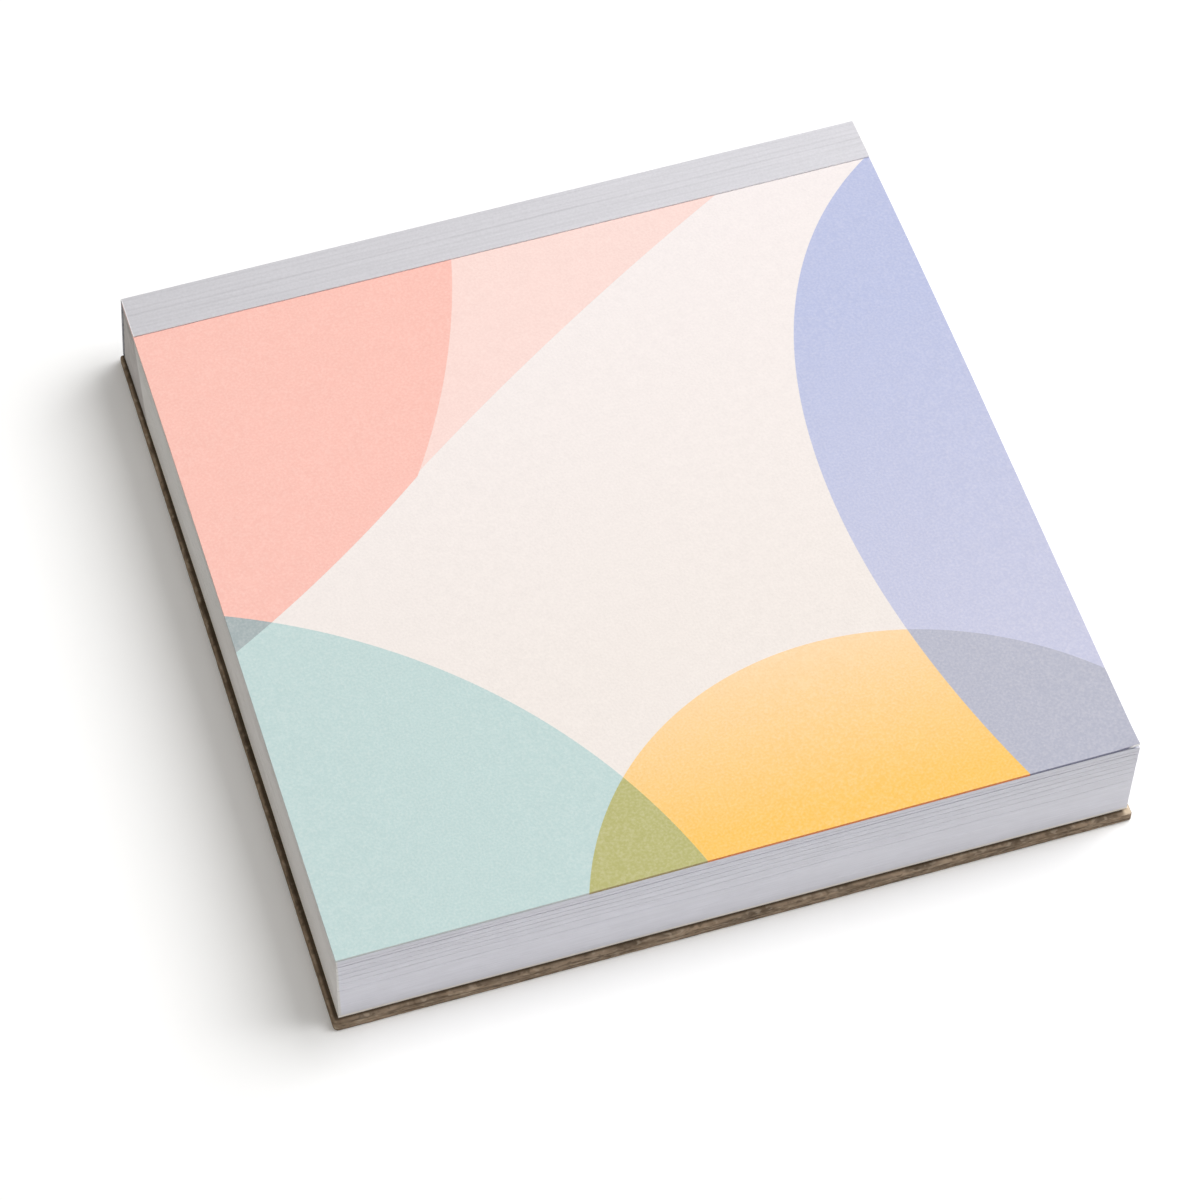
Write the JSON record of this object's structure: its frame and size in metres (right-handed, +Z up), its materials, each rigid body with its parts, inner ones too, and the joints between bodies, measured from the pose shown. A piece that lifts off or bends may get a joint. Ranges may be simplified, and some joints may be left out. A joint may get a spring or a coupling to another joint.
{
  "type": "glue-bound notepad",
  "caption": "Square notepad lying flat: a glued pile of note sheets under a printed top sheet, with a folded paper strip over the head and a greyboard back.",
  "frame": {"origin": "middle of the footprint, on the underside of the backing board", "axes": "+Z up through the pile, +Y towards the glued head, +X along the head"},
  "size_m": [0.1014, 0.1062, 0.0163],
  "materials": {
    "greyboard": "matt",
    "note_paper": "matt",
    "printed_card": "matt, printed with plain overlapping discs",
    "padding_glue": "dried, slightly cloudy",
    "strip_paper": "matt, with fine lines along its length"
  },
  "bodies": {
    "root": {"backing_board": "greyboard", "note_sheets": "note_paper", "printed_top_sheet": "printed_card", "binding_glue": "padding_glue", "binding_strip": "strip_paper"}
  },
  "joints": []
}
